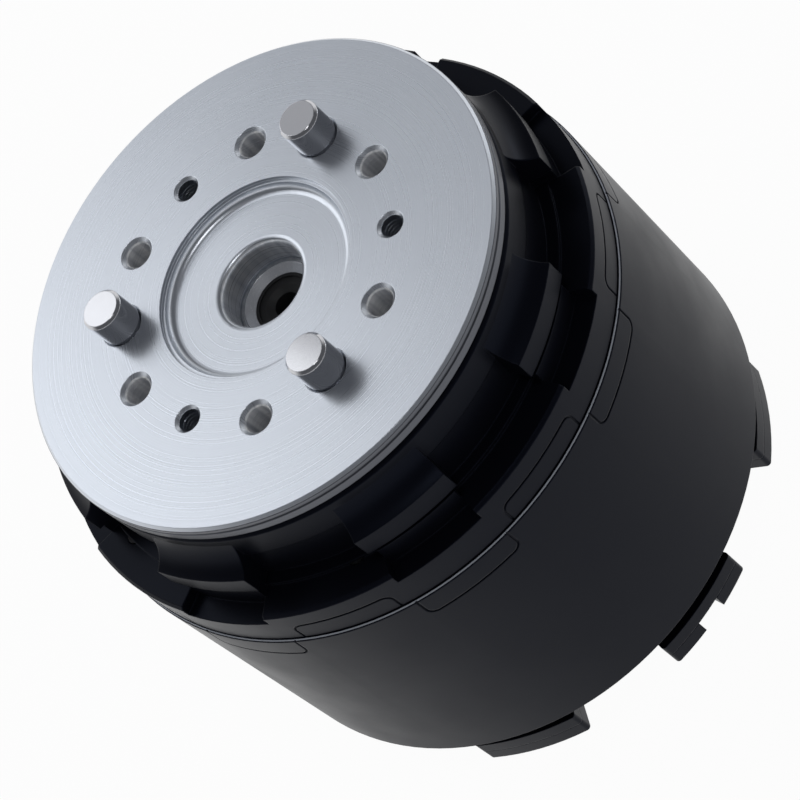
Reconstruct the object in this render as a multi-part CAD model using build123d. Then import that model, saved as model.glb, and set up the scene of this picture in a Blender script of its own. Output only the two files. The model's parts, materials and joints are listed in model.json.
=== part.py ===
from build123d import *
from math import atan, cos, pi, radians, sin, sqrt, tan
import os

# Hollow-shaft rotary joint actuator. Millimetres, +Z along the output axis, origin at the
# centre of the rear face. Radii step in from the barrel by named walls, and levels count up from
# the rear face to the output flange; the motor takes the length that the other pieces leave.

# Fits and gaps
seat_gap = 0.05
running_gap = 0.08
screw_gap = 0.1
end_play = 0.5
overrun = 1.0

# Lengths of the outer form, from the rear face forward
cover_thickness = 3.3
rear_lug_height = 3.2
rear_groove_width = 5.0
barrel_length = 55.5
collar_length = 9.3
neck_length = 15.5
output_gap = 0.8
flange_thickness = 3.4

# Radii of the outer form
barrel_radius = 56.5
barrel_wall = 4.5
collar_setback = 0.5
neck_setback = 8.5
collar_radius = barrel_radius - collar_setback
neck_radius = barrel_radius - neck_setback
flange_radius = neck_radius
rear_root_radius = neck_radius
housing_bore = barrel_radius - barrel_wall
edge_chamfer = 0.6
seam_chamfer = 0.4

# Bayonet lugs, eight at each end, their widths in degrees
lug_count = 8
front_lug_reach = 4.4
front_lug_radius = neck_radius + front_lug_reach
front_lug_width = 21.0
front_lug_setback = 2.3
front_lug_band = 4.5
front_lug_groove = 1.3
front_lug_dish = 0.9
rear_lug_reach = 6.2
rear_lug_radius = rear_root_radius + rear_lug_reach
rear_lug_width = 23.0
rear_lug_corner = 0.8
index_slot_width = 6.0
index_slot_angle = 247.5

# Pockets of the collar behind the front lugs, and the relieved foot of the neck
tier_reach = 3.8
tier_radius = neck_radius + tier_reach
tier_height = 2.4
pocket_depth = 2.4
pocket_width = 18.5
foot_reach = 1.9
foot_radius = neck_radius + foot_reach
foot_height = 0.7
neck_relief_depth = 0.5
neck_relief_height = 8.9

# Interlocking fingers drawn as narrow grooves beside the seam
finger_width = 20.4
upper_finger_height = 5.0
lower_finger_height = 5.5
finger_corner = 2.0
finger_groove = 0.4
finger_groove_depth = 0.3

# Crossed-roller output bearing
bearing_wall = 3.0
bearing_section = 11.0
bearing_outer = neck_radius - bearing_wall
bearing_bore = bearing_outer - bearing_section
bearing_width = 12.0
roller_diameter = 5.0
roller_count = 20
roller_end_gap = 0.15
raceway_gap = 1.0
seal_height = 4.0
seal_outer = bearing_outer - 1.0
shoulder_thickness = 1.3
shoulder_bore = bearing_outer - 4.0
retainer_outer = bearing_outer + 1.5
retainer_thickness = 3.5
hub_radius = shoulder_bore - 2.5

# Planetary stage
sun_teeth = 16
planet_teeth = 20
ring_teeth = sun_teeth + 2 * planet_teeth
planet_count = 3
ring_body = 10.0
gear_module = 2 * (housing_bore - ring_body) / ring_teeth
centre_distance = gear_module * (sun_teeth + planet_teeth) / 2
pressure_angle = 20.0
tooth_thinning = 0.12
dedendum_factor = 1.25
ring_addendum_factor = 0.8
planet_width = 11.0
planet_pin_radius = 4.0
bush_wall = 1.4
pin_seat_depth = 6.0
carrier_plate = 5.0
carrier_rear_plate = 4.0
carrier_spigot = 5.0
pillar_radius = 5.5
carrier_screw_radius = 2.5
carrier_screw_head = 4.2
carrier_screw_head_height = 3.0
carrier_screw_tip_depth = 6.5

# Rotor shaft and its two bearings
sun_wall = 1.925
shaft_wall = 1.8
shaft_bore = gear_module * (sun_teeth / 2 - dedendum_factor) - sun_wall
shaft_radius = shaft_bore + shaft_wall
shaft_shoulder = shaft_radius + 1.5
rotor_bearing_section = 6.0
rotor_bearing_outer = shaft_radius + rotor_bearing_section
rotor_bearing_width = 7.0
rotor_bearing_race = 2.4
rotor_bearing_shield = 0.6
bearing_lip = 1.0
bearing_lip_bore = rotor_bearing_outer - 2.0
bearing_boss = rotor_bearing_outer + 4.0
lock_ring_height = 2.0
lock_ring_radius = shaft_radius + 2.8

# Hollow tube and cable grommet
tube_clearance = 0.7
tube_wall = 2.5
tube_radius = shaft_bore - tube_clearance
tube_bore = tube_radius - tube_wall
tube_edge = 0.2
tube_setback = 0.2
tube_dish = 1.3
tube_end_recess = 0.6
grommet_length = 8.0
grommet_seat = tube_bore + 0.8
grommet_lip = 0.6
grommet_lip_height = 0.4
grommet_hole = 2.43
grommet_mouth = 3.86
grommet_mouth_depth = 0.7

# Output flange face, clocked to its rest position
output_clocking = -8.0
rim_groove_depth = 0.3
rim_groove_setback = 1.6
m6_tap_radius = 2.5
m6_chamfer = 0.85
m6_depth = 12.0
m6_circle = bearing_bore - 5.5
m5_tap_radius = 2.1
m5_chamfer = 0.55
m5_circle = bearing_bore - 6.25
dowel_radius = 4.0
dowel_shank_radius = dowel_radius - 0.3
dowel_neck_height = 0.5
dowel_protrusion = 6.6
dowel_seat_depth = 9.0
dowel_circle = m5_circle
dowel_chamfer = 0.5
dowel_hole_chamfer = 0.5
recess_rim = 8.8
recess_ledge = 0.7
recess_radius = m6_circle - recess_rim
recess_shelf_radius = recess_radius - recess_ledge
recess_fillet = 1.6
recess_depth = 2.4
recess_ledge_depth = 0.7
pilot_radius = tube_radius + 0.7
pilot_mouth_fillet = 1.2
pilot_depth = 5.9
pilot_relief = 0.5
pilot_relief_width = 0.8

# Motor
web_thickness = 4.0
stator_seat_height = 4.0
stator_seat_width = 24.0
stator_yoke = 6.0
slot_depth = 14.0
slot_opening = 3.75
stator_slots = 12
slot_bottom = housing_bore - stator_yoke
stator_bore = slot_bottom - slot_depth
stem_width = 6.0
shoe_width = 2 * pi * stator_bore / stator_slots - slot_opening
shoe_height = 1.8
coil_width = shoe_width + 2.0
coil_overhang = 3.0
coil_clearance = 0.2
coil_chamfer = 2.5
air_gap = 0.43
magnet_count = 14
magnet_thickness = 2.9
magnet_gap = 2.2
magnet_corner = stator_bore - air_gap
magnet_width = 2 * pi * magnet_corner / magnet_count - magnet_gap
magnet_seat = sqrt(magnet_corner**2 - (magnet_width / 2) ** 2) - magnet_thickness
rotor_rim = 4.0
rotor_web = 4.0
rotor_hub_radius = shaft_radius + 4.0
plate_rim_height = 4.0
plate_thickness = 4.0
plate_boss_height = 5.0

# Rear frame
frame_spigot_step = 1.0
frame_spigot_radius = housing_bore + frame_spigot_step
frame_spigot_length = 4.5
frame_wall = 4.0
frame_inner = rear_root_radius - frame_wall

# Fasteners inside
m3_radius = 1.5
m3_head = 2.75
m3_head_height = 3.0
screw_edge = 3.0
clamp_screw_count = 6
clamp_screw_circle = housing_bore - screw_edge
clamp_screw_bite = 5.5
motor_screw_count = 3
motor_screw_circle = housing_bore - screw_edge
motor_screw_bite = 6.0
frame_screw_count = 3
frame_screw_circle = frame_inner - screw_edge
frame_screw_bite = 4.0
frame_ear_thickness = 4.0
boss_radius = 3.5
cover_screw_count = 4
cover_screw_circle = frame_inner - screw_edge
cover_screw_head = 2.9
cover_screw_bite = 5.0
cover_boss_height = 8.0

# Encoders and electronics
encoder_disc_radius = shaft_radius + 12.0
encoder_disc_thickness = 1.5
encoder_gap = 1.2
output_disc_offset = 1.2
board_thickness = 1.6
board_edge_gap = 7.2
board_radius = frame_inner - board_edge_gap
board_bore = tube_radius + 2.5
board_gap = 4.4
spacer_radius = 2.2
spacer_circle = board_radius - 3.8
spacer_count = 3
board_screw_radius = 1.0
board_screw_head = 1.9
board_screw_head_height = 1.3
transistor_count = 6
transistor_size = (5.0, 6.0, 1.6)
transistor_circle = board_radius - 9.8
capacitor_spread = 30.0
capacitor_radius = 3.2
capacitor_height = 4.2
capacitor_circle = board_radius - 10.8
power_socket_size = (15.0, 9.0)
power_socket_wall = 1.4
power_socket_depth = 6.0
signal_socket_size = (12.0, 6.0)
signal_socket_wall = 1.4
signal_socket_depth = 4.0
socket_circle = board_radius - 14.8
socket_gap = 0.15
bush_radius = tube_radius + 2.5
bush_flange_radius = bush_radius + 1.5
bush_flange_thickness = 1.2

# Levels of the outer form
cover_top = cover_thickness
rear_lug_top = cover_top + rear_lug_height
barrel_bottom = rear_lug_top + rear_groove_width
seam = barrel_bottom + barrel_length
collar_front = seam + collar_length
neck_top = collar_front + neck_length
flange_back = neck_top + output_gap
face = flange_back + flange_thickness
floor = face - recess_depth

# Levels of the gear stage, from the output end down to the web
bearing_top = neck_top - seal_height - shoulder_thickness
bearing_middle = bearing_top - bearing_width / 2
bearing_bottom = bearing_top - bearing_width
spigot_bottom = bearing_bottom + carrier_spigot
ring_gear_top = bearing_bottom - retainer_thickness
carrier_bottom = bearing_bottom - carrier_plate
planet_top = carrier_bottom - end_play
planet_bottom = planet_top - planet_width
carrier_rear_top = planet_bottom - end_play
carrier_rear_bottom = carrier_rear_top - carrier_rear_plate
web_top = carrier_rear_bottom - end_play
web_bottom = web_top - web_thickness
stator_top = web_bottom - stator_seat_height
front_bearing_top = web_top - bearing_lip
front_bearing_bottom = front_bearing_top - rotor_bearing_width

# Levels of the rear stage, from the frame's spigot up to the stator and down to the boards
frame_top = barrel_bottom + frame_spigot_length
plate_bottom = frame_top + plate_boss_height
plate_top = plate_bottom + plate_thickness
stator_bottom = plate_top + plate_rim_height
rear_bearing_bottom = plate_bottom
rear_bearing_top = rear_bearing_bottom + rotor_bearing_width
lock_ring_bottom = rear_bearing_bottom - lock_ring_height
shaft_bottom = lock_ring_bottom - encoder_disc_thickness
encoder_board_top = shaft_bottom - encoder_gap
encoder_board_bottom = encoder_board_top - board_thickness
output_disc_top = encoder_board_bottom - output_disc_offset
driver_board_top = encoder_board_bottom - board_gap
driver_board_bottom = driver_board_top - board_thickness

# Levels of the tube down the middle
pilot_bottom = floor - pilot_depth
tube_top = pilot_bottom - tube_setback
grommet_top = tube_top - tube_dish
grommet_bottom = grommet_top - grommet_length

# Radii of the bearing's rollers and raceways
roller_circle = (bearing_bore + bearing_outer) / 2
groove_half = (roller_diameter / 2 + seat_gap) * sqrt(2)
inner_ring_outer = roller_circle - raceway_gap / 2
outer_ring_inner = roller_circle + raceway_gap / 2
on_base = (Align.CENTER, Align.CENTER, Align.MIN)


def disc(radius, low, high):
    return Pos(0, 0, low) * Cylinder(radius, high - low, align=on_base)


def ring(outer, inner, low, high):
    return turned((inner, low), (outer, low), (outer, high), (inner, high))


# Solid of revolution from an outline of (radius, level) points
def turned(*points):
    return revolve(Plane.XZ * make_face(Polyline(*points, close=True)), Axis.Z)


# Copies of a stretch of revolution, each a width in degrees about its centre angle, with the
# upright outer edges rounded where a corner is given
def sectors(profile, width, centres, corner=0):
    piece = revolve(Plane.XZ * profile, Axis.Z, revolution_arc=width)
    if corner:
        outer_edges = piece.edges().filter_by(Axis.Z).sort_by_distance((0, 0, 0))[-2:]
        piece = fillet(outer_edges, corner)
    return [Rot(0, 0, centre - width / 2) * piece for centre in centres]


def band(inner, outer, low, high):
    return make_face(Polyline((inner, low), (outer, low), (outer, high), (inner, high), close=True))


def angles(count, first=0.0):
    return [first + i * 360 / count for i in range(count)]


def around(piece, radius, turns):
    return [Rot(0, 0, turn) * Pos(radius, 0, 0) * piece for turn in turns]


# Socket-head screw pointing along +Z with its head below the level
def cap_screw(radius, head, head_height, low, high):
    shank = disc(radius, low, high)
    return shank + disc(head, low - head_height, low)


def write(name, shape):
    if isinstance(shape, (list, ShapeList)):
        shape = Compound(children=list(shape))
    export_step(shape, f"parts/{name}.step")


# Closed face of a spur gear with three-point arc flanks. An internal gear's face is the tooth
# space it leaves, so its thinning widens the space instead.
def gear_face(teeth, internal=False):
    pitch = gear_module * teeth / 2
    base = pitch * cos(radians(pressure_angle))
    if internal:
        tip = pitch + gear_module * dedendum_factor
        root = pitch - gear_module * ring_addendum_factor
        thinning = -tooth_thinning
    else:
        tip = pitch + gear_module
        root = pitch - gear_module * dedendum_factor
        thinning = tooth_thinning
    half_pitch_tooth = (pi * gear_module / 2 - thinning) / (2 * pitch)
    involute_at_pitch = tan(radians(pressure_angle)) - radians(pressure_angle)

    def flank_angle(radius):
        if radius <= base:
            return half_pitch_tooth + involute_at_pitch
        roll = sqrt((radius / base) ** 2 - 1)
        involute = roll - atan(roll)
        return half_pitch_tooth + involute_at_pitch - involute

    def polar(radius, angle):
        return (radius * cos(angle), radius * sin(angle))

    middle = (max(root, base) + tip) / 2
    edges = []
    pitch_angle = 2 * pi / teeth
    for i in range(teeth):
        centre = i * pitch_angle
        low_root = polar(root, centre - flank_angle(root))
        low_tip = polar(tip, centre - flank_angle(tip))
        high_tip = polar(tip, centre + flank_angle(tip))
        high_root = polar(root, centre + flank_angle(root))
        next_root = polar(root, centre + pitch_angle - flank_angle(root))
        edges.append(ThreePointArc(low_root, polar(middle, centre - flank_angle(middle)), low_tip))
        edges.append(ThreePointArc(low_tip, polar(tip, centre), high_tip))
        edges.append(ThreePointArc(high_tip, polar(middle, centre + flank_angle(middle)), high_root))
        edges.append(ThreePointArc(high_root, polar(root, centre + pitch_angle / 2), next_root))
    return make_face(edges)


def circle_edges(piece, radius, level):
    edges = piece.edges().filter_by(GeomType.CIRCLE)
    near = edges.filter_by(lambda edge: abs(edge.radius - radius) < seat_gap)
    return near.filter_by(lambda edge: abs(edge.arc_center.Z - level) < seat_gap)


pin_angles = angles(planet_count, output_clocking)
screw_angles = angles(planet_count, output_clocking + 180 / planet_count)
m6_angles = angles(2 * planet_count, output_clocking + 90 / planet_count)
front_lug_angles = angles(lug_count)
rear_lug_angles = angles(lug_count, 180 / lug_count)
clamp_angles = angles(clamp_screw_count, 180 / clamp_screw_count)
motor_angles = angles(motor_screw_count)
frame_angles = angles(frame_screw_count, 180 / frame_screw_count)
cover_angles = angles(cover_screw_count, 180 / cover_screw_count)
spacer_angles = angles(spacer_count, 90 / spacer_count)

m3_hole = m3_radius + screw_gap
carrier_hole = carrier_screw_radius + screw_gap
pin_hole = planet_pin_radius + seat_gap
dowel_hole = dowel_shank_radius + seat_gap
bearing_seat = bearing_outer + seat_gap
bearing_spigot = bearing_bore - seat_gap
bore_fill = housing_bore - seat_gap
tube_hole = tube_radius + seat_gap


# Straight hole from the flange face with a chamfered mouth
def face_hole(radius, chamfer_size, bottom):
    return turned(
        (0, bottom),
        (radius, bottom),
        (radius, face - chamfer_size),
        (radius + chamfer_size, face),
        (0, face),
    )


def output_flange():
    rim_groove = face - rim_groove_setback
    relief_bottom = pilot_bottom - pilot_relief_width
    body = turned(
        (tube_hole, spigot_bottom),
        (bearing_spigot, spigot_bottom),
        (bearing_spigot, bearing_top),
        (hub_radius, bearing_top),
        (hub_radius, flange_back),
        (flange_radius, flange_back),
        (flange_radius, rim_groove - rim_groove_depth),
        (flange_radius - rim_groove_depth, rim_groove),
        (flange_radius, rim_groove + rim_groove_depth),
        (flange_radius, face - edge_chamfer),
        (flange_radius - edge_chamfer, face),
        (recess_radius, face),
        (recess_radius, face - recess_ledge_depth),
        (recess_shelf_radius, face - recess_ledge_depth),
        (recess_shelf_radius, floor),
        (pilot_radius, floor),
        (pilot_radius, pilot_bottom),
        (pilot_radius + pilot_relief, pilot_bottom),
        (pilot_radius + pilot_relief, relief_bottom),
        (tube_hole, relief_bottom),
    )
    body = fillet(circle_edges(body, recess_shelf_radius, floor), recess_fillet)
    body = fillet(circle_edges(body, pilot_radius, floor), pilot_mouth_fillet)
    screw_tip = face - carrier_screw_tip_depth
    cuts = around(face_hole(m6_tap_radius, m6_chamfer, face - m6_depth), m6_circle, m6_angles)
    cuts += around(face_hole(m5_tap_radius, m5_chamfer, screw_tip), m5_circle, screw_angles)
    cuts += around(disc(carrier_hole, spigot_bottom, screw_tip), m5_circle, screw_angles)
    dowel_cut = face_hole(dowel_hole, dowel_hole_chamfer, face - dowel_seat_depth)
    cuts += around(dowel_cut, dowel_circle, pin_angles)
    return body - cuts


# Stepped dowels, whose narrower shank shows as a neck under the head
def dowel_pins():
    top = face + dowel_protrusion
    neck_end = face + dowel_neck_height
    pin = turned(
        (0, face - dowel_seat_depth),
        (dowel_shank_radius, face - dowel_seat_depth),
        (dowel_shank_radius, neck_end),
        (dowel_radius, neck_end),
        (dowel_radius, top - dowel_chamfer),
        (dowel_radius - dowel_chamfer, top),
        (0, top),
    )
    return around(pin, dowel_circle, pin_angles)


def hollow_tube():
    return turned(
        (tube_bore, tube_end_recess),
        (tube_radius, tube_end_recess),
        (tube_radius, tube_top - tube_edge),
        (tube_radius - tube_edge, tube_top),
        (grommet_seat, grommet_top),
        (grommet_seat, grommet_bottom),
        (tube_bore, grommet_bottom),
    )


def cable_grommet():
    outer = grommet_seat - seat_gap
    shelf = grommet_top - grommet_lip_height
    return turned(
        (grommet_hole, grommet_bottom),
        (outer, grommet_bottom),
        (outer, grommet_top),
        (outer - grommet_lip, grommet_top),
        (outer - grommet_lip, shelf),
        (grommet_mouth, shelf),
        (grommet_hole, shelf - grommet_mouth_depth),
    )


# Front housing: collar, neck and lugs round the seats of seal, bearing and ring gear
lug_bottom = collar_front + tier_height + front_lug_groove
lug_band_top = lug_bottom + front_lug_band
lug_ramp_top = neck_top - front_lug_setback


# Concave ramp from the neck down to the cylindrical band of a lug
def front_lug_profile():
    root = neck_radius - overrun
    middle = ((neck_radius + front_lug_radius) / 2, (lug_ramp_top + lug_band_top) / 2)
    dish = front_lug_dish / sqrt(2)
    sides = Polyline(
        (neck_radius, lug_ramp_top),
        (root, lug_ramp_top),
        (root, lug_bottom),
        (front_lug_radius, lug_bottom),
        (front_lug_radius, lug_band_top),
    )
    ramp = ThreePointArc(
        (front_lug_radius, lug_band_top),
        (middle[0] - dish, middle[1] - dish),
        (neck_radius, lug_ramp_top),
    )
    return make_face([sides, ramp])


# Narrow rounded-rectangle grooves round the fingers that cross the seam
def finger_grooves(radius, low, high, centres):
    width = 2 * radius * sin(radians(finger_width / 2))
    height = high - low
    frame = RectangleRounded(width, height, finger_corner)
    inside = RectangleRounded(
        width - 2 * finger_groove,
        height - 2 * finger_groove,
        finger_corner - finger_groove,
    )
    facing_out = Plane(origin=(0, 0, (low + high) / 2), x_dir=(0, 1, 0), z_dir=(1, 0, 0))
    prism = extrude(facing_out * (frame - inside), radius + overrun)
    skin = ring(radius + overrun, radius - finger_groove_depth, low, high)
    return [Rot(0, 0, centre) * prism & skin for centre in centres]


def front_housing():
    relief_radius = neck_radius - neck_relief_depth
    relief_top = collar_front + neck_relief_height
    body = turned(
        (housing_bore, seam),
        (collar_radius - seam_chamfer, seam),
        (collar_radius, seam + seam_chamfer),
        (collar_radius, collar_front - edge_chamfer),
        (collar_radius - edge_chamfer, collar_front),
        (foot_radius, collar_front),
        (foot_radius, collar_front + foot_height),
        (relief_radius, collar_front + foot_height),
        (relief_radius, relief_top),
        (neck_radius, relief_top),
        (neck_radius, neck_top - edge_chamfer),
        (neck_radius - edge_chamfer, neck_top),
        (seal_outer + seat_gap, neck_top),
        (seal_outer + seat_gap, neck_top - seal_height),
        (shoulder_bore, neck_top - seal_height),
        (shoulder_bore, bearing_top),
        (bearing_seat, bearing_top),
        (bearing_seat, bearing_bottom),
        (retainer_outer + seat_gap, bearing_bottom),
        (retainer_outer + seat_gap, ring_gear_top),
        (housing_bore, ring_gear_top),
    )
    pocket_floor = collar_front - pocket_depth
    pocket = band(tier_radius, collar_radius + overrun, pocket_floor, collar_front + overrun)
    body -= sectors(pocket, pocket_width, front_lug_angles)
    tier = band(neck_radius - overrun, tier_radius, pocket_floor, collar_front + tier_height)
    body += sectors(tier, pocket_width, front_lug_angles)
    body += sectors(front_lug_profile(), front_lug_width, front_lug_angles)
    screw_hole = disc(m3_hole, ring_gear_top, ring_gear_top + clamp_screw_bite)
    body -= around(screw_hole, clamp_screw_circle, clamp_angles)
    low = seam - 2 * finger_corner
    return body - finger_grooves(collar_radius, low, seam + upper_finger_height, rear_lug_angles)


def main_housing():
    body = turned(
        (frame_spigot_radius, barrel_bottom),
        (barrel_radius - edge_chamfer, barrel_bottom),
        (barrel_radius, barrel_bottom + edge_chamfer),
        (barrel_radius, seam - seam_chamfer),
        (barrel_radius - seam_chamfer, seam),
        (housing_bore, seam),
        (housing_bore, web_top),
        (bearing_lip_bore, web_top),
        (bearing_lip_bore, front_bearing_top),
        (rotor_bearing_outer + seat_gap, front_bearing_top),
        (rotor_bearing_outer + seat_gap, front_bearing_bottom),
        (bearing_boss, front_bearing_bottom),
        (bearing_boss, web_bottom),
        (housing_bore, web_bottom),
        (housing_bore, frame_top),
        (frame_spigot_radius, frame_top),
    )
    pad = band(slot_bottom, housing_bore + overrun, stator_top, web_bottom + overrun)
    body += sectors(pad, stator_seat_width, motor_angles)
    clamp_cut = disc(m3_hole, web_bottom, web_top)
    clamp_cut += disc(m3_head + screw_gap, web_bottom, web_bottom + m3_head_height)
    motor_cut = disc(m3_hole, stator_top, stator_top + motor_screw_bite)
    body -= around(clamp_cut, clamp_screw_circle, clamp_angles)
    body -= around(motor_cut, motor_screw_circle, motor_angles)
    high = seam + 2 * finger_corner
    return body - finger_grooves(barrel_radius, seam - lower_finger_height, high, front_lug_angles)


# Crossed-roller bearing: two rings with 90-degree grooves, rollers leaning to alternate sides
def raceway_points(face_radius, depth):
    opening = abs(depth)
    return [
        (face_radius, bearing_middle - opening),
        (face_radius + depth, bearing_middle),
        (face_radius, bearing_middle + opening),
    ]


def bearing_inner_ring():
    return turned(
        (bearing_bore, bearing_bottom),
        (inner_ring_outer, bearing_bottom),
        *raceway_points(inner_ring_outer, raceway_gap / 2 - groove_half),
        (inner_ring_outer, bearing_top),
        (bearing_bore, bearing_top),
    )


def bearing_outer_ring():
    return turned(
        (bearing_outer, bearing_bottom),
        (outer_ring_inner, bearing_bottom),
        *raceway_points(outer_ring_inner, groove_half - raceway_gap / 2),
        (outer_ring_inner, bearing_top),
        (bearing_outer, bearing_top),
    )


def bearing_rollers():
    length = roller_diameter + 2 * seat_gap - 2 * roller_end_gap
    rollers = []
    for i, turn in enumerate(angles(roller_count)):
        lean = 45 if i % 2 else -45
        roller = Rot(0, lean, 0) * Cylinder(roller_diameter / 2, length)
        rollers.append(Rot(0, 0, turn) * Pos(roller_circle, 0, bearing_middle) * roller)
    return rollers


# Planet carrier
def carrier_front():
    body = turned(
        (tube_hole, carrier_bottom),
        (hub_radius, carrier_bottom),
        (hub_radius, bearing_bottom),
        (bearing_spigot, bearing_bottom),
        (bearing_spigot, spigot_bottom),
        (tube_hole, spigot_bottom),
    )
    pin_seat = disc(pin_hole, carrier_bottom, carrier_bottom + pin_seat_depth)
    body -= around(pin_seat, centre_distance, pin_angles)
    screw_hole = disc(carrier_hole, carrier_bottom, spigot_bottom)
    return body - around(screw_hole, m5_circle, screw_angles)


def carrier_rear():
    sun_tip = gear_module * (sun_teeth / 2 + 1)
    body = ring(hub_radius, sun_tip + end_play, carrier_rear_bottom, carrier_rear_top)
    body += around(disc(pillar_radius, carrier_rear_top, carrier_bottom), m5_circle, screw_angles)
    head_top = carrier_rear_bottom + carrier_screw_head_height
    screw_cut = disc(carrier_hole, head_top, carrier_bottom)
    screw_cut += disc(carrier_screw_head + screw_gap, carrier_rear_bottom, head_top)
    body -= around(screw_cut, m5_circle, screw_angles)
    pin_seat = disc(pin_hole, carrier_rear_bottom, carrier_rear_top)
    return body - around(pin_seat, centre_distance, pin_angles)


def carrier_screws():
    low = carrier_rear_bottom + carrier_screw_head_height
    tip = face - carrier_screw_tip_depth
    screw = cap_screw(carrier_screw_radius, carrier_screw_head, carrier_screw_head_height, low, tip)
    return around(screw, m5_circle, screw_angles)


def planet_pins():
    pin = disc(planet_pin_radius, carrier_rear_bottom, carrier_bottom + pin_seat_depth)
    return around(pin, centre_distance, pin_angles)


# Gears, meshed at rest: the sun and the ring have a tooth, and each planet a gap, on the line of
# centres of the first planet
bush_bore = planet_pin_radius + running_gap
bush_outer = bush_bore + bush_wall


def planet_gear(turn):
    blank = gear_face(planet_teeth) - Circle(bush_outer + seat_gap)
    gear = extrude(Pos(0, 0, planet_bottom) * blank, planet_width)
    phase = output_clocking + 180 / planet_teeth
    return Rot(0, 0, turn) * Pos(centre_distance, 0, 0) * Rot(0, 0, phase - turn) * gear


def planet_bush(turn):
    bush = ring(bush_outer, bush_bore, planet_bottom, planet_top)
    return Rot(0, 0, turn) * Pos(centre_distance, 0, 0) * bush


def ring_gear():
    spaces = Rot(0, 0, output_clocking + 180 / ring_teeth) * gear_face(ring_teeth, internal=True)
    blank = Circle(bore_fill) - spaces
    gear = extrude(Pos(0, 0, web_top) * blank, ring_gear_top - web_top)
    screw_hole = disc(m3_hole, web_top, ring_gear_top)
    return gear - around(screw_hole, clamp_screw_circle, clamp_angles)


def sun_gear_shaft():
    blank = Rot(0, 0, output_clocking) * (gear_face(sun_teeth) - Circle(shaft_bore))
    teeth = extrude(Pos(0, 0, planet_bottom) * blank, planet_width)
    shaft = turned(
        (shaft_bore, shaft_bottom),
        (shaft_radius, shaft_bottom),
        (shaft_radius, front_bearing_top),
        (shaft_shoulder, front_bearing_top),
        (shaft_shoulder, planet_bottom),
        (shaft_bore, planet_bottom),
    )
    return teeth + shaft


# Shielded ball bearings of the rotor shaft
race_inner = shaft_radius + rotor_bearing_race
race_outer = rotor_bearing_outer - rotor_bearing_race


def rotor_bearing_outer_ring(low):
    high = low + rotor_bearing_width
    shield = race_inner + running_gap
    return turned(
        (shield, low),
        (rotor_bearing_outer, low),
        (rotor_bearing_outer, high),
        (shield, high),
        (shield, high - rotor_bearing_shield),
        (race_outer, high - rotor_bearing_shield),
        (race_outer, low + rotor_bearing_shield),
        (shield, low + rotor_bearing_shield),
    )


def rotor_bearing_inner_ring(low):
    return ring(race_inner, shaft_radius + seat_gap, low, low + rotor_bearing_width)


# Motor
def rotor_hub():
    rim_low = stator_bottom + end_play
    rim_high = stator_top - end_play
    flats = RegularPolygon(magnet_seat, magnet_count, major_radius=False)
    flats = Rot(0, 0, 180 / magnet_count) * flats - Circle(magnet_seat - rotor_rim)
    rim = extrude(Pos(0, 0, rim_low) * flats, rim_high - rim_low)
    bore = shaft_radius + seat_gap
    middle = (rim_low + rim_high) / 2
    boss = ring(rotor_hub_radius, bore, rear_bearing_top, front_bearing_bottom)
    web = ring(magnet_seat - rotor_rim / 2, bore, middle - rotor_web / 2, middle + rotor_web / 2)
    return rim + boss + web


def rotor_magnets():
    low = stator_bottom + end_play
    height = stator_top - stator_bottom - 2 * end_play
    block = Pos(magnet_seat, 0, low) * Box(
        magnet_thickness,
        magnet_width,
        height,
        align=(Align.MIN, Align.CENTER, Align.MIN),
    )
    return around(block, 0, angles(magnet_count))


def stator_core():
    stem_length = slot_bottom + overrun - stator_bore
    stem = Pos(stator_bore, 0) * Rectangle(stem_length, stem_width, align=(Align.MIN, Align.CENTER))
    shoe_base = stator_bore - 2 * shoe_height
    shoe_block = Rectangle(3 * shoe_height, shoe_width, align=(Align.MIN, Align.CENTER))
    shoe = Pos(shoe_base, 0) * shoe_block
    tooth = stem + shoe - Circle(stator_bore)
    sheet = Circle(bore_fill) - Circle(slot_bottom)
    sheet += [Rot(0, 0, turn) * tooth for turn in angles(stator_slots)]
    core = extrude(Pos(0, 0, stator_bottom) * sheet, stator_top - stator_bottom)
    screw_hole = disc(m3_hole, stator_bottom, stator_top)
    return core - around(screw_hole, motor_screw_circle, motor_angles)


def stator_coils():
    start = stator_bore + shoe_height + coil_clearance
    end = sqrt(slot_bottom**2 - (coil_width / 2) ** 2) - coil_clearance
    length = stator_top - stator_bottom
    loop = Rectangle(coil_width, length + 2 * coil_overhang)
    loop = chamfer(loop.vertices(), coil_chamfer)
    loop -= Rectangle(stem_width + 2 * seat_gap, length + 2 * seat_gap)
    facing_out = Plane(
        origin=(start, 0, (stator_bottom + stator_top) / 2),
        x_dir=(0, 1, 0),
        z_dir=(1, 0, 0),
    )
    return around(extrude(facing_out * loop, end - start), 0, angles(stator_slots))


def motor_end_plate():
    body = turned(
        (bearing_lip_bore, rear_bearing_bottom - bearing_lip),
        (bearing_boss, rear_bearing_bottom - bearing_lip),
        (bearing_boss, plate_bottom),
        (bore_fill, plate_bottom),
        (bore_fill, stator_bottom),
        (slot_bottom, stator_bottom),
        (slot_bottom, plate_top),
        (bearing_boss, plate_top),
        (bearing_boss, rear_bearing_top),
        (rotor_bearing_outer + seat_gap, rear_bearing_top),
        (rotor_bearing_outer + seat_gap, rear_bearing_bottom),
        (bearing_lip_bore, rear_bearing_bottom),
    )
    body += around(disc(boss_radius, frame_top, plate_bottom), frame_screw_circle, frame_angles)
    frame_cut = disc(m3_hole, frame_top, frame_top + frame_screw_bite)
    body -= around(frame_cut, frame_screw_circle, frame_angles)
    screw_hole = disc(m3_hole, plate_bottom, stator_bottom)
    return body - around(screw_hole, motor_screw_circle, motor_angles)


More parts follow.
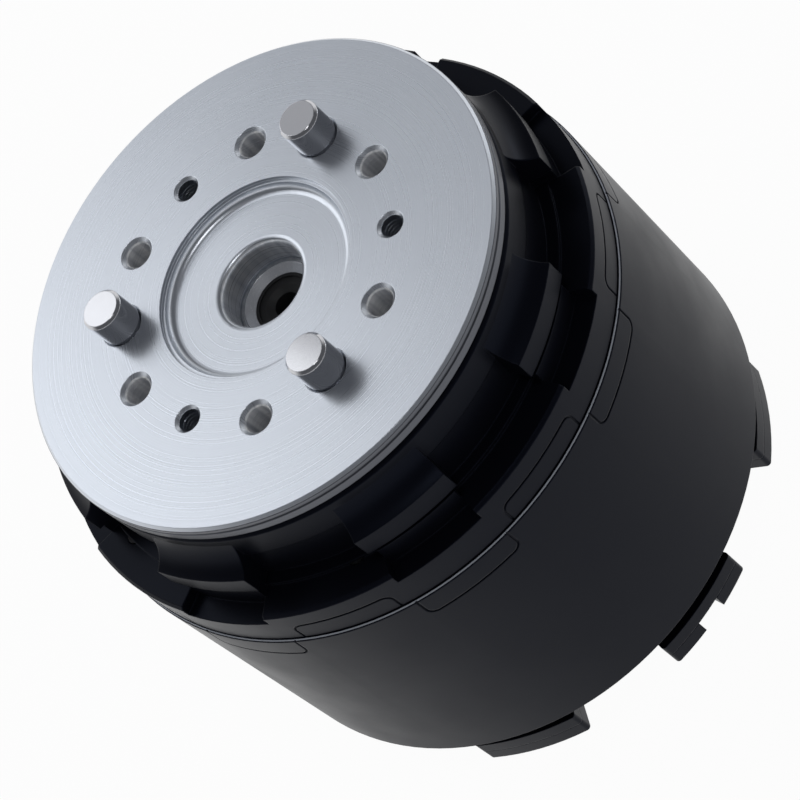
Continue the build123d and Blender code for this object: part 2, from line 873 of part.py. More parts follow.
# Rear frame with the inner half of the rear lugs
def rear_frame():
    body = turned(
        (frame_inner, cover_top),
        (rear_root_radius, cover_top),
        (rear_root_radius, barrel_bottom),
        (frame_spigot_radius - seat_gap, barrel_bottom),
        (frame_spigot_radius - seat_gap, frame_top),
        (frame_inner, frame_top),
    )
    lug = band(rear_root_radius - overrun, rear_lug_radius, cover_top, rear_lug_top)
    body += sectors(lug, rear_lug_width, rear_lug_angles, rear_lug_corner)
    body += bosses(frame_screw_circle, frame_angles, frame_top - frame_ear_thickness, frame_top)
    body += bosses(cover_screw_circle, cover_angles, cover_top, cover_top + cover_boss_height)
    ear_cut = disc(m3_hole, frame_top - frame_ear_thickness, frame_top)
    cover_cut = disc(m3_hole, cover_top, cover_top + cover_screw_bite)
    body -= around(ear_cut, frame_screw_circle, frame_angles)
    return body - around(cover_cut, cover_screw_circle, cover_angles)


# Round-nosed lugs that reach inward from the frame's wall
def bosses(circle, turns, low, high):
    reach = frame_inner + overrun - circle
    tongue = Pos(0, 0, low) * Box(
        reach,
        2 * boss_radius,
        high - low,
        align=(Align.MIN, Align.CENTER, Align.MIN),
    )
    return around(disc(boss_radius, low, high) + tongue, circle, turns)


def rear_cover():
    body = disc(rear_root_radius, 0, cover_top)
    lug = band(rear_root_radius - overrun, rear_lug_radius, 0, cover_top)
    body += sectors(lug, rear_lug_width, rear_lug_angles, rear_lug_corner)
    slot = band(rear_root_radius, rear_lug_radius + overrun, -overrun, cover_top + overrun)
    body -= sectors(slot, index_slot_width, [index_slot_angle])
    body -= disc(bush_radius, -overrun, cover_top + overrun)
    body -= around(countersunk(cover_top, screw_gap), cover_screw_circle, cover_angles)
    for size, side in ((power_socket_size, 1), (signal_socket_size, -1)):
        window = Box(size[0] + 2 * socket_gap, size[1] + 2 * socket_gap, cover_top, align=on_base)
        body -= Pos(0, side * socket_circle, 0) * window
    return body


# Countersunk screw, or with a gap the hole that it needs
def countersunk(length, gap):
    return turned(
        (0, 0),
        (cover_screw_head + gap, 0),
        (m3_radius + gap, cover_screw_head - m3_radius),
        (m3_radius + gap, length),
        (0, length),
    )


def socket(size, wall, depth, side):
    shell = Box(size[0], size[1], driver_board_bottom, align=on_base)
    shell -= Box(size[0] - 2 * wall, size[1] - 2 * wall, depth, align=on_base)
    return Pos(0, side * socket_circle, 0) * shell


def tube_bush():
    return turned(
        (tube_hole, 0),
        (bush_radius - seat_gap, 0),
        (bush_radius - seat_gap, cover_top),
        (bush_flange_radius, cover_top),
        (bush_flange_radius, cover_top + bush_flange_thickness),
        (tube_hole, cover_top + bush_flange_thickness),
    )


# Electronics
def board(low):
    screw_hole = disc(board_screw_radius + screw_gap, low, low + board_thickness)
    plate = ring(board_radius, board_bore, low, low + board_thickness)
    return plate - around(screw_hole, spacer_circle, spacer_angles)


def board_spacers():
    hexagon = RegularPolygon(spacer_radius, 6) - Circle(board_screw_radius + screw_gap)
    spacers = []
    for low, high in ((encoder_board_top, plate_bottom), (driver_board_top, encoder_board_bottom)):
        spacer = extrude(Pos(0, 0, low) * hexagon, high - low)
        spacers += around(spacer, spacer_circle, spacer_angles)
    return spacers


def board_screws():
    screw = cap_screw(
        board_screw_radius,
        board_screw_head,
        board_screw_head_height,
        driver_board_bottom,
        plate_bottom,
    )
    return around(screw, spacer_circle, spacer_angles)


def power_transistors():
    chip = Pos(0, 0, driver_board_top) * Box(*transistor_size, align=on_base)
    return around(chip, transistor_circle, angles(transistor_count))


def capacitors():
    low = driver_board_bottom - capacitor_height
    can = disc(capacitor_radius, low, driver_board_bottom)
    return around(can, capacitor_circle, [-capacitor_spread, 0, capacitor_spread])


m3_clamp = cap_screw(
    m3_radius,
    m3_head,
    m3_head_height,
    web_bottom + m3_head_height,
    ring_gear_top + clamp_screw_bite,
)
m3_motor = cap_screw(
    m3_radius,
    m3_head,
    m3_head_height,
    plate_bottom,
    stator_top + motor_screw_bite,
)
m3_frame = cap_screw(
    m3_radius,
    m3_head,
    m3_head_height,
    frame_top - frame_ear_thickness,
    frame_top + frame_screw_bite,
)

os.makedirs("parts", exist_ok=True)
write("output_flange", output_flange())
write("dowel_pins", dowel_pins())
write("hollow_tube", hollow_tube())
write("cable_grommet", cable_grommet())
write("front_housing", front_housing())
write("main_housing", main_housing())
write("rear_frame", rear_frame())
write("rear_cover", rear_cover())
write("shaft_seal", ring(seal_outer, hub_radius + running_gap, neck_top - seal_height, neck_top))
write("bearing_inner_ring", bearing_inner_ring())
write("bearing_outer_ring", bearing_outer_ring())
write("bearing_rollers", bearing_rollers())
write("bearing_retainer", ring(retainer_outer, shoulder_bore, ring_gear_top, bearing_bottom))
write("carrier_front", carrier_front())
write("carrier_rear", carrier_rear())
write("carrier_screws", carrier_screws())
write("planet_pins", planet_pins())
for number, turn in enumerate(pin_angles, start=1):
    write(f"planet_gear_{number}", planet_gear(turn))
    write(f"planet_bush_{number}", planet_bush(turn))
write("ring_gear", ring_gear())
write("sun_gear_shaft", sun_gear_shaft())
write("clamp_screws", around(m3_clamp, clamp_screw_circle, clamp_angles))
write("front_rotor_bearing_outer", rotor_bearing_outer_ring(front_bearing_bottom))
write("front_rotor_bearing_inner", rotor_bearing_inner_ring(front_bearing_bottom))
write("rear_rotor_bearing_outer", rotor_bearing_outer_ring(rear_bearing_bottom))
write("rear_rotor_bearing_inner", rotor_bearing_inner_ring(rear_bearing_bottom))
write("rotor_hub", rotor_hub())
write("rotor_magnets", rotor_magnets())
shaft_fit = shaft_radius + seat_gap
write("rotor_lock_ring", ring(lock_ring_radius, shaft_fit, lock_ring_bottom, rear_bearing_bottom))
write("rotor_encoder_disc", ring(encoder_disc_radius, shaft_fit, shaft_bottom, lock_ring_bottom))
write("stator_core", stator_core())
write("stator_coils", stator_coils())
write("motor_end_plate", motor_end_plate())
write("motor_screws", around(m3_motor, motor_screw_circle, motor_angles))
write("frame_screws", around(m3_frame, frame_screw_circle, frame_angles))
cover_screw = countersunk(cover_top + cover_screw_bite, 0)
write("cover_screws", around(cover_screw, cover_screw_circle, cover_angles))
write("encoder_board", board(encoder_board_bottom))
write("driver_board", board(driver_board_bottom))
output_disc_bottom = output_disc_top - encoder_disc_thickness
write("output_encoder_disc", ring(encoder_disc_radius, tube_hole, output_disc_bottom, output_disc_top))
write("board_spacers", board_spacers())
write("board_screws", board_screws())
write("power_transistors", power_transistors())
write("capacitors", capacitors())
write("power_socket", socket(power_socket_size, power_socket_wall, power_socket_depth, 1))
write("signal_socket", socket(signal_socket_size, signal_socket_wall, signal_socket_depth, -1))
write("tube_bush", tube_bush())
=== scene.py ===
import bpy
import json
import math
from mathutils import Matrix, Vector


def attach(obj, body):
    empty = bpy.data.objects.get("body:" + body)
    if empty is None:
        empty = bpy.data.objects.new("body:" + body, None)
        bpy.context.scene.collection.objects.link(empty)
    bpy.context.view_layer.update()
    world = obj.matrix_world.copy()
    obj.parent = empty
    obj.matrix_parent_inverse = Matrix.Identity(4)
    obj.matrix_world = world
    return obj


# Hollow-shaft joint actuator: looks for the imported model, in metres, +Z towards the output flange
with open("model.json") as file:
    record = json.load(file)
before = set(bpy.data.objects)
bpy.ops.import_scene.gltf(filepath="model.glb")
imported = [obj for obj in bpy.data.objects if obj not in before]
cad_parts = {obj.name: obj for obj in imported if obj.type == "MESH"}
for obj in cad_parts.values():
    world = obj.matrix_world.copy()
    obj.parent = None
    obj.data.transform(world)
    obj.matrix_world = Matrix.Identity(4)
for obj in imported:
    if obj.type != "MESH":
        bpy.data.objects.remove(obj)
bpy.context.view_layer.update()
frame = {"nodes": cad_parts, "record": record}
mm = 0.001
print("frame loaded:", len(frame["nodes"]), "nodes")


# Camera at the photograph's viewing angle, aimed down the axis from the output side
cameraSettings = {
    "place": (-0.17406, -0.31418, 0.44834),
    "right": (0.2807, -0.8120, -0.5120),
    "down": (-0.9040, -0.0446, -0.4250),
    "forward": (0.3223, 0.5828, -0.7460),
    "lens": 130.5,
    "sensor": 36.0,
}


def makeCamera(settings):
    cameraData = bpy.data.cameras.new("photoCamera")
    cameraData.lens = settings["lens"]
    cameraData.sensor_width = settings["sensor"]
    cameraData.clip_start = 0.01
    camera = bpy.data.objects.new("photoCamera", cameraData)
    bpy.context.scene.collection.objects.link(camera)
    back = -Vector(settings["forward"]).normalized()
    right = Vector(settings["right"])
    right = (right - back * right.dot(back)).normalized()
    up = back.cross(right)
    turn = Matrix((right, up, back)).transposed()
    camera.matrix_world = Matrix.Translation(settings["place"]) @ turn.to_4x4()
    bpy.context.scene.camera = camera


makeCamera(cameraSettings)
bpy.context.scene.view_settings.view_transform = "Standard"
print("camera placed")


# Node helpers for the finishes. The Mix node's colour sockets share their names, so they go by number.
mixShare, mixLow, mixHigh, mixResult = 0, 6, 7, 2
noiseLow, noiseHigh = 0.3, 0.7
grainDepth = 0.01 * mm
markDepth = 0.02 * mm


def newMaterial(name):
    material = bpy.data.materials.new(name)
    material.use_nodes = True
    tree = material.node_tree
    tree.nodes.clear()
    output = tree.nodes.new("ShaderNodeOutputMaterial")
    shader = tree.nodes.new("ShaderNodeBsdfPrincipled")
    tree.links.new(shader.outputs["BSDF"], output.inputs["Surface"])
    return material, tree, shader


def setShader(shader, values):
    for socket, value in values.items():
        shader.inputs[socket].default_value = value


def addNode(tree, kind, **settings):
    node = tree.nodes.new(kind)
    for key, value in settings.items():
        setattr(node, key, value)
    return node


def math2(tree, operation, first, second=0):
    node = addNode(tree, "ShaderNodeMath", operation=operation)
    for index, value in enumerate((first, second)):
        if isinstance(value, (int, float)):
            node.inputs[index].default_value = value
        else:
            tree.links.new(value, node.inputs[index])
    return node.outputs[0]


def objectPoint(tree):
    return addNode(tree, "ShaderNodeTexCoord").outputs["Object"]


def splitPoint(tree):
    split = addNode(tree, "ShaderNodeSeparateXYZ")
    tree.links.new(objectPoint(tree), split.inputs[0])
    return split.outputs


def flatPoint(tree):
    split = splitPoint(tree)
    flat = addNode(tree, "ShaderNodeCombineXYZ")
    tree.links.new(split[0], flat.inputs[0])
    tree.links.new(split[1], flat.inputs[1])
    return flat.outputs[0]


def axisRadius(tree):
    length = addNode(tree, "ShaderNodeVectorMath", operation="LENGTH")
    tree.links.new(flatPoint(tree), length.inputs[0])
    return length.outputs["Value"]


def axisHeight(tree):
    return splitPoint(tree)[2]


def axisTurn(tree):
    split = splitPoint(tree)
    return math2(tree, "ARCTAN2", split[1], split[0])


def between(tree, value, low, high):
    above = math2(tree, "GREATER_THAN", value, low)
    return math2(tree, "MULTIPLY", above, math2(tree, "LESS_THAN", value, high))


def noise(tree, vector, scale, detail=3.0, roughness=0.55):
    node = addNode(tree, "ShaderNodeTexNoise")
    node.inputs["Scale"].default_value = scale
    node.inputs["Detail"].default_value = detail
    node.inputs["Roughness"].default_value = roughness
    tree.links.new(vector, node.inputs["Vector"])
    return node.outputs["Fac"]


def lineNoise(tree, value, scale, detail=2.0):
    node = addNode(tree, "ShaderNodeTexNoise", noise_dimensions="1D")
    node.inputs["Scale"].default_value = scale
    node.inputs["Detail"].default_value = detail
    tree.links.new(value, node.inputs["W"])
    return node.outputs["Fac"]


def spread(tree, value, low, high):
    node = addNode(tree, "ShaderNodeMapRange")
    node.inputs["From Min"].default_value = noiseLow
    node.inputs["From Max"].default_value = noiseHigh
    node.inputs["To Min"].default_value = low
    node.inputs["To Max"].default_value = high
    tree.links.new(value, node.inputs["Value"])
    return node.outputs["Result"]


def tint(tree, share, low, high):
    node = addNode(tree, "ShaderNodeMix", data_type="RGBA")
    for index, colour in ((mixLow, low), (mixHigh, high)):
        if isinstance(colour, tuple):
            node.inputs[index].default_value = (*colour, 1)
        else:
            tree.links.new(colour, node.inputs[index])
    tree.links.new(share, node.inputs[mixShare])
    return node.outputs[mixResult]


def bump(tree, shader, height, strength, distance, edge=0.0):
    node = addNode(tree, "ShaderNodeBump")
    node.inputs["Strength"].default_value = strength
    node.inputs["Distance"].default_value = distance
    tree.links.new(height, node.inputs["Height"])
    if edge:
        rounded = addNode(tree, "ShaderNodeBevel", samples=6)
        rounded.inputs["Radius"].default_value = edge
        tree.links.new(rounded.outputs[0], node.inputs["Normal"])
    tree.links.new(node.outputs[0], shader.inputs["Normal"])


# Direction of the lathe marks round the output axis, for the stretched highlights
def turningDirection(tree):
    cross = addNode(tree, "ShaderNodeVectorMath", operation="CROSS_PRODUCT")
    cross.inputs[0].default_value = (0, 0, 1)
    tree.links.new(objectPoint(tree), cross.inputs[1])
    turn = addNode(tree, "ShaderNodeVectorTransform", vector_type="VECTOR",
                   convert_from="OBJECT", convert_to="WORLD")
    tree.links.new(cross.outputs[0], turn.inputs[0])
    return turn.outputs[0]


# Share of drilled, duller metal that also carries painted sheen: one on the walls of the six larger holes,
# less in the centre bore
def drilledAndSheenShare(tree, radius, height, settings):
    fromHole = math2(tree, "SUBTRACT", axisTurn(tree), settings["holeTurn"])
    wave = math2(tree, "COSINE", math2(tree, "MULTIPLY", fromHole, settings["holeCount"]))
    ring = math2(tree, "MULTIPLY", between(tree, radius, *settings["holeBand"]),
                 math2(tree, "GREATER_THAN", wave, 0))
    walls = math2(tree, "MULTIPLY", ring, math2(tree, "LESS_THAN", height, settings["holeTop"]))
    inBore = math2(tree, "LESS_THAN", radius, settings["boreWall"])
    return math2(tree, "MAXIMUM", walls, math2(tree, "MULTIPLY", inBore, settings["boreShare"]))


# Silver face turned on a lathe: fine concentric marks about the output axis, streaks in the holes that are
# partly drill marks and partly painted sheen, and painted shade on the outer rim
def turnedSilver(name, settings):
    material, tree, shader = newMaterial(name)
    radius, height = axisRadius(tree), axisHeight(tree)
    along = math2(tree, "ADD", radius, height)
    coarse = lineNoise(tree, along, settings["markScale"], 3.0)
    fine = lineNoise(tree, along, settings["fineScale"], 2.0)
    feed = math2(tree, "SINE", math2(tree, "MULTIPLY", along, 2 * math.pi / settings["feed"]))
    marks = math2(tree, "ADD", math2(tree, "ADD", coarse, fine),
                  math2(tree, "MULTIPLY", feed, settings["feedDepth"]))
    cloud = noise(tree, objectPoint(tree), settings["cloudScale"])
    shade = math2(tree, "ADD", math2(tree, "MULTIPLY", cloud, settings["cloudShare"]),
                  math2(tree, "MULTIPLY", coarse, 1 - settings["cloudShare"]))
    faceColour = tint(tree, shade, settings["dark"], settings["light"])

    drilled = drilledAndSheenShare(tree, radius, height, settings)
    # Streaks on the hole walls: partly drill marks, partly painted sheen that stands in for light reflected
    # inside the holes
    streak = spread(tree, noise(tree, flatPoint(tree), settings["streakScale"], 1.0), 0.0, 1.0)
    streaks = tint(tree, streak, settings["drillDark"], settings["drillPaintedSheen"])
    # Painted shade: the outer rim is coloured near black, standing in for dark reflections on its side
    rim = math2(tree, "MULTIPLY", math2(tree, "GREATER_THAN", radius, settings["rimRadius"]),
                math2(tree, "LESS_THAN", height, settings["rimTop"]))
    holedColour = tint(tree, drilled, faceColour, streaks)
    tree.links.new(tint(tree, rim, holedColour, settings["rimPaintedShade"]), shader.inputs["Base Color"])

    rough = math2(tree, "ADD", spread(tree, coarse, settings["smooth"], settings["rough"]),
                  math2(tree, "MULTIPLY", cloud, settings["cloudRough"]))
    tree.links.new(rough, shader.inputs["Roughness"])
    dull = math2(tree, "MULTIPLY", drilled, settings["dullness"])
    tree.links.new(math2(tree, "SUBTRACT", 1.0, dull), shader.inputs["Metallic"])
    tree.links.new(turningDirection(tree), shader.inputs["Tangent"])
    setShader(shader, {"Anisotropic": settings["stretch"]})
    bump(tree, shader, marks, settings["bump"], markDepth, settings["edge"])
    return material


# Black anodised aluminium: satin, faint blue, fine blasted grain, and a highlight painted along the seam's
# edge
def anodised(name, settings):
    material, tree, shader = newMaterial(name)
    point = objectPoint(tree)
    grain = noise(tree, point, settings["grain"], 2.0)
    cloud = noise(tree, point, settings["cloudScale"], 4.0)
    # Painted highlight: a thin pale band of colour on the seam's chamfer stands in for light caught there
    edge = math2(tree, "MULTIPLY", between(tree, axisHeight(tree), *settings["seamHighlightHeights"]),
                 between(tree, axisRadius(tree), *settings["seamHighlightRadii"]))
    black = tint(tree, cloud, settings["dark"], settings["light"])
    tree.links.new(tint(tree, edge, black, settings["seamHighlightColour"]), shader.inputs["Base Color"])
    rough = math2(tree, "ADD", spread(tree, cloud, settings["smooth"], settings["rough"]),
                  math2(tree, "MULTIPLY", grain, settings["grainRough"]))
    tree.links.new(rough, shader.inputs["Roughness"])
    setShader(shader, {"Specular IOR Level": settings["specular"],
                       "Specular Tint": (*settings["sheenTint"], 1)})
    bump(tree, shader, grain, settings["bump"], grainDepth, settings["edge"])
    return material


def speckled(tree, shader, colourNoise, roughNoise, settings):
    colour = tint(tree, colourNoise, settings["dark"], settings["light"])
    tree.links.new(colour, shader.inputs["Base Color"])
    rough = spread(tree, roughNoise, settings["smooth"], settings["rough"])
    tree.links.new(rough, shader.inputs["Roughness"])


# Metals seen inside: ground, hobbed, drawn or cast, by their settings
def plainMetal(name, settings):
    material, tree, shader = newMaterial(name)
    point = objectPoint(tree)
    grain = noise(tree, point, settings["grain"], 3.0)
    speckled(tree, shader, noise(tree, point, 90.0, 4.0), grain, settings)
    setShader(shader, {"Metallic": settings.get("metal", 1.0)})
    bump(tree, shader, grain, settings["bump"], grainDepth, settings["edge"])
    return material


# Rubber, moulded plastic and solder mask
def moulded(name, settings):
    material, tree, shader = newMaterial(name)
    grain = noise(tree, objectPoint(tree), settings["grain"], 4.0)
    speckled(tree, shader, grain, grain, settings)
    setShader(shader, {"Specular IOR Level": 0.4})
    bump(tree, shader, grain, settings["bump"], markDepth, settings["edge"])
    return material


# Windings or sheets: stripes along the axis
def striped(name, settings):
    material, tree, shader = newMaterial(name)
    wave = math2(tree, "SINE", math2(tree, "MULTIPLY", axisHeight(tree), 2 * math.pi / settings["pitch"]))
    cloud = noise(tree, objectPoint(tree), 150.0)
    speckled(tree, shader, cloud, cloud, settings)
    setShader(shader, {"Metallic": 1.0})
    bump(tree, shader, wave, settings["bump"], settings["depth"])
    return material


finishes = {
    "turned_steel": turnedSilver("turnedSilver", {
        "dark": (0.56, 0.595, 0.65), "light": (0.68, 0.715, 0.77), "smooth": 0.25, "rough": 0.32,
        "markScale": 3600.0, "fineScale": 12000.0, "feed": 0.45 * mm, "feedDepth": 0.35, "bump": 0.18,
        "edge": 0.2 * mm, "stretch": 0.35, "dullness": 0.9,
        "cloudScale": 60.0, "cloudShare": 0.4, "cloudRough": 0.03,
        # The hole streaks run up to white as painted sheen
        "drillDark": (0.5, 0.52, 0.56), "drillPaintedSheen": (1.0, 1.0, 1.0), "streakScale": 800.0,
        "holeTurn": math.radians(22), "holeCount": 6, "holeBand": (25.0 * mm, 31.5 * mm),
        "holeTop": 95.4 * mm, "boreWall": 8.6 * mm, "boreShare": 0.45,
        # The rim's near-black colour is painted shade
        "rimRadius": 46.8 * mm, "rimTop": 95.5 * mm, "rimPaintedShade": (0.10, 0.105, 0.12)}),
    "anodised": anodised("blackAnodised", {
        "dark": (0.0022, 0.0024, 0.0042), "light": (0.0034, 0.0038, 0.0066),
        "smooth": 0.28, "rough": 0.38, "grain": 4200.0, "grainRough": 0.05, "cloudScale": 45.0,
        "specular": 0.10, "sheenTint": (0.55, 0.66, 1.0), "bump": 0.06, "edge": 0.35 * mm,
        # The seam band and its pale colour are a painted highlight
        "seamHighlightHeights": (66.78 * mm, 66.97 * mm), "seamHighlightRadii": (55.9 * mm, 56.45 * mm),
        "seamHighlightColour": (0.34, 0.36, 0.40)}),
    "dowel_steel": plainMetal("groundDowel", {
        "dark": (0.53, 0.535, 0.56), "light": (0.60, 0.605, 0.63), "smooth": 0.07, "rough": 0.12,
        "grain": 6000.0, "bump": 0.03, "edge": 0.2 * mm}),
    "tube_metal": plainMetal("drawnTube", {
        "dark": (0.66, 0.675, 0.71), "light": (0.76, 0.775, 0.81), "smooth": 0.20, "rough": 0.28,
        "grain": 6000.0, "bump": 0.03, "edge": 0.15 * mm, "metal": 0.6}),
    "bearing_steel": plainMetal("bearingSteel", {
        "dark": (0.52, 0.52, 0.54), "light": (0.66, 0.66, 0.68), "smooth": 0.12, "rough": 0.22,
        "grain": 2500.0, "bump": 0.05, "edge": 0.0}),
    "gear_steel": plainMetal("gearSteel", {
        "dark": (0.40, 0.40, 0.42), "light": (0.52, 0.52, 0.54), "smooth": 0.26, "rough": 0.40,
        "grain": 1800.0, "bump": 0.15, "edge": 0.0}),
    "screw_steel": plainMetal("blackOxide", {
        "dark": (0.035, 0.035, 0.04), "light": (0.06, 0.06, 0.065), "smooth": 0.34, "rough": 0.5,
        "grain": 2500.0, "bump": 0.15, "edge": 0.0}),
    "bronze": plainMetal("sinteredBronze", {
        "dark": (0.42, 0.27, 0.12), "light": (0.62, 0.42, 0.2), "smooth": 0.35, "rough": 0.5,
        "grain": 4000.0, "bump": 0.3, "edge": 0.0}),
    "magnet": plainMetal("nickelMagnet", {
        "dark": (0.5, 0.49, 0.47), "light": (0.6, 0.59, 0.56), "smooth": 0.12, "rough": 0.2,
        "grain": 900.0, "bump": 0.05, "edge": 0.0}),
    "inner_aluminium": plainMetal("machinedAluminium", {
        "dark": (0.62, 0.63, 0.64), "light": (0.74, 0.75, 0.76), "smooth": 0.28, "rough": 0.42,
        "grain": 1600.0, "bump": 0.15, "edge": 0.0}),
    "copper_wire": striped("enamelledCopper", {
        "dark": (0.45, 0.16, 0.06), "light": (0.68, 0.28, 0.12), "smooth": 0.25, "rough": 0.4,
        "pitch": 0.7 * mm, "depth": 0.1 * mm, "bump": 0.6}),
    "laminations": striped("siliconSteelSheets", {
        "dark": (0.2, 0.2, 0.21), "light": (0.3, 0.3, 0.31), "smooth": 0.35, "rough": 0.5,
        "pitch": 0.5 * mm, "depth": 0.1 * mm, "bump": 0.5}),
    "black_rubber": moulded("blackRubber", {
        "dark": (0.010, 0.010, 0.011), "light": (0.018, 0.018, 0.019), "smooth": 0.5, "rough": 0.65,
        "grain": 1200.0, "bump": 0.3, "edge": 0.15 * mm}),
    "circuit_board": moulded("solderMask", {
        "dark": (0.006, 0.05, 0.02), "light": (0.012, 0.09, 0.035), "smooth": 0.25, "rough": 0.4,
        "grain": 300.0, "bump": 0.1, "edge": 0.0}),
    "black_plastic": moulded("blackPlastic", {
        "dark": (0.012, 0.012, 0.013), "light": (0.024, 0.024, 0.026), "smooth": 0.4, "rough": 0.55,
        "grain": 2000.0, "bump": 0.2, "edge": 0.15 * mm}),
    "white_plastic": moulded("bearingPlastic", {
        "dark": (0.55, 0.53, 0.47), "light": (0.66, 0.64, 0.58), "smooth": 0.35, "rough": 0.5,
        "grain": 1200.0, "bump": 0.15, "edge": 0.2 * mm}),
}

slotOfNode = {row["node"]: row["material_slot"] for row in frame["record"]["subparts"]}
for nodeName, node in frame["nodes"].items():
    node.data.materials.clear()
    node.data.materials.append(finishes[slotOfNode[nodeName]])
print("finishes made:", len(finishes))


# Thread ridges in the flange's tapped holes: one small triangle wound round and up each hole
ridgeReach = 1.6
ridgeInset = 0.6
threadSettings = {
    "m6": {"holeRadius": 2.5 * mm, "ridge": 0.06 * mm, "pitch": 1.0 * mm, "turns": 10, "steps": 20,
           "circle": 28.5 * mm, "bottom": 84.6 * mm, "angles": (22, 82, 142, 202, 262, 322)},
    "m5": {"holeRadius": 2.1 * mm, "ridge": 0.1 * mm, "pitch": 0.8 * mm, "turns": 6, "steps": 20,
           "circle": 27.75 * mm, "bottom": 89.9 * mm, "angles": (52, 172, 292)},
}


def threadRidge(name, settings):
    centre = (settings["holeRadius"] + settings["ridge"] * ridgeInset, 0, 0)
    bpy.ops.object.select_all(action="DESELECT")
    bpy.ops.mesh.primitive_circle_add(vertices=3, radius=settings["ridge"] * ridgeReach, fill_type="NOTHING",
                                      location=centre, rotation=(math.pi / 2, 0, 0))
    ridge = bpy.context.object
    ridge.name = name
    bpy.ops.object.mode_set(mode="EDIT")
    bpy.ops.mesh.select_all(action="SELECT")
    bpy.ops.transform.rotate(value=math.pi / 2, orient_axis="Y", center_override=centre)
    bpy.ops.object.mode_set(mode="OBJECT")
    bpy.ops.object.transform_apply(location=True, rotation=True, scale=True)
    wind = ridge.modifiers.new("wind", "SCREW")
    wind.axis = "Z"
    wind.screw_offset = settings["pitch"]
    wind.iterations = settings["turns"]
    wind.steps = settings["steps"]
    wind.render_steps = settings["steps"]
    bpy.ops.object.modifier_apply(modifier=wind.name)
    bpy.ops.object.mode_set(mode="EDIT")
    bpy.ops.mesh.select_all(action="SELECT")
    bpy.ops.mesh.fill_holes(sides=4)
    bpy.ops.mesh.normals_make_consistent(inside=False)
    bpy.ops.object.mode_set(mode="OBJECT")
    return ridge


def placeCopy(piece, name, offset):
    twin = piece.copy()
    twin.data = piece.data.copy()
    twin.name = name
    twin.data.transform(Matrix.Translation(offset))
    bpy.context.scene.collection.objects.link(twin)
    return twin


for threadName, settings in threadSettings.items():
    first = threadRidge(threadName + "Thread", settings)
    first.data.materials.append(finishes["turned_steel"])
    for index, angle in enumerate(settings["angles"]):
        turn = math.radians(angle)
        offset = (settings["circle"] * math.cos(turn), settings["circle"] * math.sin(turn), settings["bottom"])
        twin = placeCopy(first, threadName + "Thread" + str(index + 1), offset)
        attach(twin, "output")
    bpy.data.objects.remove(first)
print("threads wound")


# Pale floor: white to the camera and in reflections, matt under the light so that it keeps the shadow
floorSettings = {"size": 8.0, "drop": 0.2 * mm, "colour": (0.8, 0.8, 0.81), "seenWhite": 0.965}


def makeFloor(settings):
    bpy.ops.object.select_all(action="DESELECT")
    bpy.ops.mesh.primitive_plane_add(size=settings["size"], location=(0, 0, -settings["drop"]))
    floor = bpy.context.object
    floor.name = "paleFloor"
    material = bpy.data.materials.new("paleFloor")
    material.use_nodes = True
    tree = material.node_tree
    tree.nodes.clear()
    output = addNode(tree, "ShaderNodeOutputMaterial")
    matt = addNode(tree, "ShaderNodeBsdfDiffuse")
    matt.inputs["Color"].default_value = (*settings["colour"], 1)
    glow = addNode(tree, "ShaderNodeEmission")
    path = addNode(tree, "ShaderNodeLightPath")
    mirrored = math2(tree, "ADD", path.outputs["Is Glossy Ray"], path.outputs["Is Transmission Ray"])
    seen = math2(tree, "MULTIPLY", path.outputs["Is Camera Ray"], settings["seenWhite"])
    share = math2(tree, "ADD", seen, mirrored)
    mix = addNode(tree, "ShaderNodeMixShader")
    tree.links.new(share, mix.inputs[0])
    tree.links.new(matt.outputs[0], mix.inputs[1])
    tree.links.new(glow.outputs[0], mix.inputs[2])
    tree.links.new(mix.outputs[0], output.inputs["Surface"])
    floor.data.materials.append(material)


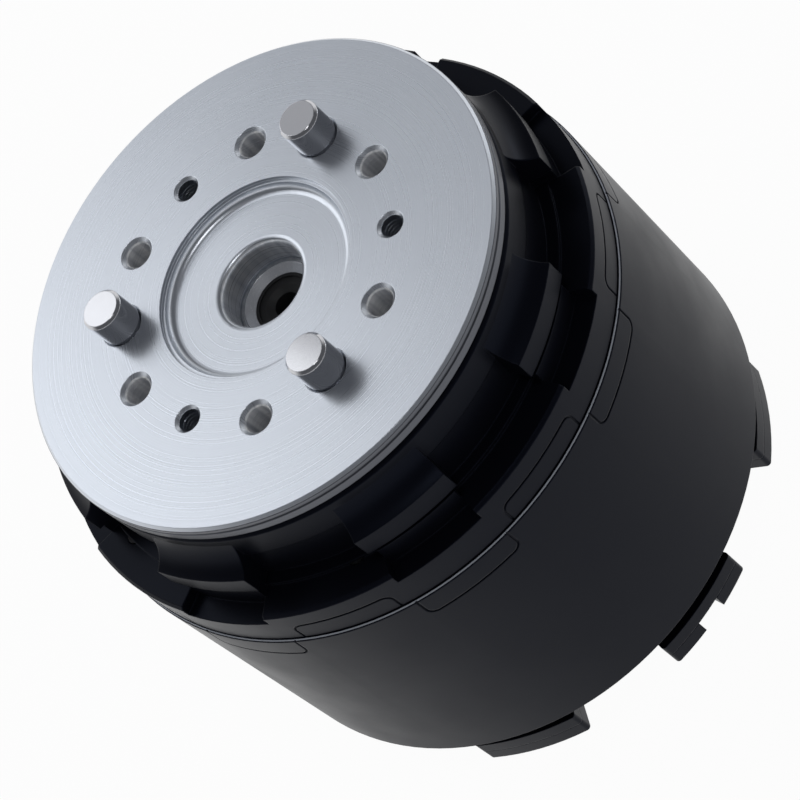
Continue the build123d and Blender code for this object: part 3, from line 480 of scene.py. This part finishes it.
# Soft lights: the silver face mirrors the wide and the left one, brighter towards its lower left
lights = {
    "wideSoftbox": {"place": (0.25, 0.65, 0.80), "aim": (0, 0, 0.09), "width": 0.9, "height": 0.9,
                    "power": 1.1, "colour": (0.97, 0.98, 1.0)},
    "leftSoftbox": {"place": (0.05, 0.91, 0.80), "aim": (0, 0, 0.09), "width": 0.7, "height": 0.7,
                    "power": 1.6, "colour": (0.98, 0.99, 1.0)},
    "topSoftbox": {"place": (-0.12, -0.22, 1.0), "aim": (0, 0, 0.05), "width": 0.24, "height": 0.24,
                   "power": 0.9, "colour": (1.0, 1.0, 1.0)},
    "rightSoftbox": {"place": (0.75, -0.35, 0.12), "aim": (0, 0, 0.05), "width": 0.4, "height": 0.2,
                     "power": 0.5, "colour": (0.93, 0.96, 1.0)},
}


def softLight(name, settings):
    data = bpy.data.lights.new(name, "AREA")
    data.shape = "RECTANGLE"
    data.size = settings["width"]
    data.size_y = settings["height"]
    data.energy = settings["power"]
    data.color = settings["colour"]
    lamp = bpy.data.objects.new(name, data)
    bpy.context.scene.collection.objects.link(lamp)
    lamp.location = settings["place"]
    aim = Vector(settings["aim"]) - Vector(settings["place"])
    lamp.rotation_euler = aim.to_track_quat("-Z", "Y").to_euler()


# Room: white round the horizon, falling to grey overhead
roomSettings = {"whiteBelow": 0.16, "greyAbove": 0.46,
                "white": (1.0, 1.0, 1.0), "grey": (0.12, 0.123, 0.132)}


def makeRoom(settings):
    world = bpy.data.worlds.new("paleRoom")
    bpy.context.scene.world = world
    world.use_nodes = True
    tree = world.node_tree
    tree.nodes.clear()
    output = addNode(tree, "ShaderNodeOutputWorld")
    background = addNode(tree, "ShaderNodeBackground")
    split = addNode(tree, "ShaderNodeSeparateXYZ")
    tree.links.new(addNode(tree, "ShaderNodeTexCoord").outputs["Generated"], split.inputs[0])
    rise = addNode(tree, "ShaderNodeMapRange", interpolation_type="SMOOTHSTEP")
    rise.inputs["From Min"].default_value = settings["whiteBelow"]
    rise.inputs["From Max"].default_value = settings["greyAbove"]
    tree.links.new(split.outputs[2], rise.inputs["Value"])
    shade = tint(tree, rise.outputs["Result"], settings["white"], settings["grey"])
    tree.links.new(shade, background.inputs["Color"])
    tree.links.new(background.outputs[0], output.inputs["Surface"])


makeFloor(floorSettings)
for lightName, lightSettings in lights.items():
    softLight(lightName, lightSettings)
makeRoom(roomSettings)
print("floor, lights and room placed")
